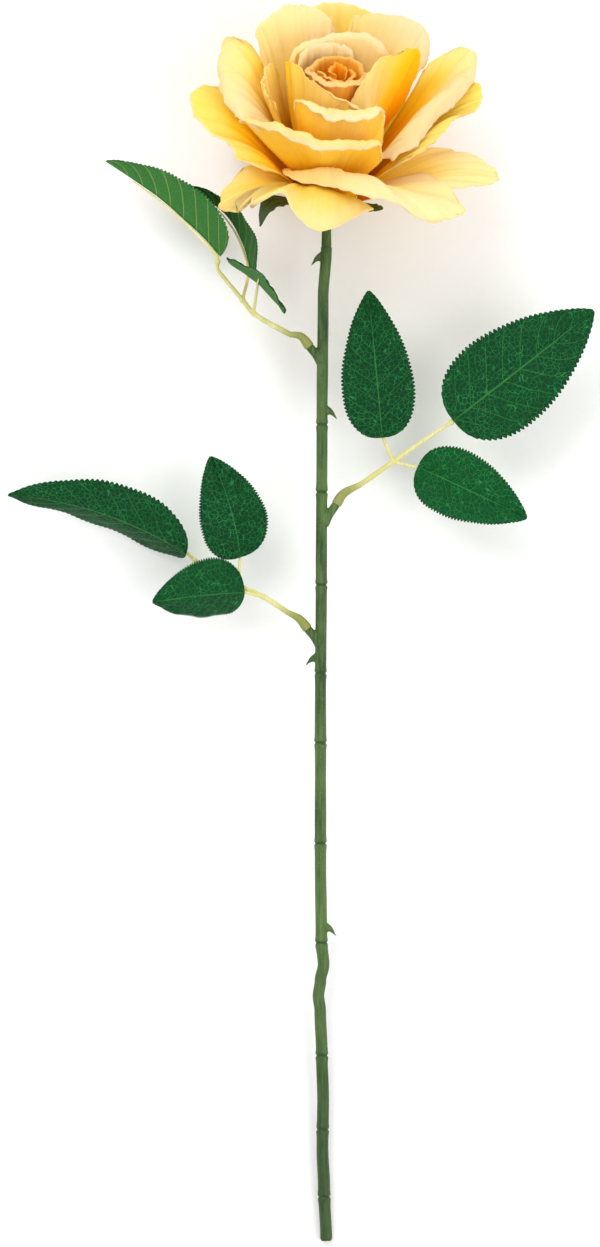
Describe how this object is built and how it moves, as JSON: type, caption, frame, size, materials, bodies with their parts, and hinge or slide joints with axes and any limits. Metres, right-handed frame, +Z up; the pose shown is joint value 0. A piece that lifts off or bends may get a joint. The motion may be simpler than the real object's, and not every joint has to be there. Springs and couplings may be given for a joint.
{
  "type": "artificial cut rose",
  "caption": "Artificial long-stemmed rose: an open fabric flower on a calyx, a ringed stem with thorns over a wire, and leaf sprays, lying down as a cut stem",
  "frame": {"origin": "bottom centre of the box round the lying rose, on the surface it lies on", "axes": "+Y along the stem towards the flower, +Z up, +X to the right of the flower's front as seen from above"},
  "size_m": [0.2654, 0.5608, 0.0952],
  "materials": {
    "petal": "matt woven petal cloth, pale at the edges and golden at the base",
    "leaf": "matt dark green leaf cloth with pale veins",
    "stem": "satin moulded green plastic",
    "spray": "satin moulded yellow-green plastic",
    "calyx": "satin moulded olive plastic",
    "core": "matt foam",
    "wire": "drawn wire"
  },
  "bodies": {
    "root": {"wire_core": "wire", "stem": "stem", "calyx": "calyx", "bud_core": "core", "spray_right": "spray", "leaf_right_1": "leaf", "leaf_right_2": "leaf", "leaf_right_3": "leaf", "spray_lower_left": "spray", "leaf_lower_left_1": "leaf", "leaf_lower_left_2": "leaf", "leaf_lower_left_3": "leaf", "spray_upper_left": "spray", "leaf_upper_left_1": "leaf", "leaf_upper_left_2": "leaf", "leaf_upper_left_3": "leaf", "petal_outer_1": "petal", "petal_outer_2": "petal", "petal_outer_3": "petal", "petal_outer_4": "petal", "petal_outer_5": "petal", "petal_second_1": "petal", "petal_second_2": "petal", "petal_second_3": "petal", "petal_second_4": "petal", "petal_second_5": "petal", "petal_third_1": "petal", "petal_third_2": "petal", "petal_third_3": "petal", "petal_third_4": "petal", "petal_third_5": "petal", "petal_cup_1": "petal", "petal_cup_2": "petal", "petal_cup_3": "petal", "petal_cup_4": "petal", "petal_cup_5": "petal", "petal_bud_1": "petal", "petal_bud_2": "petal", "petal_bud_3": "petal", "petal_bud_4": "petal"}
  },
  "joints": []
}
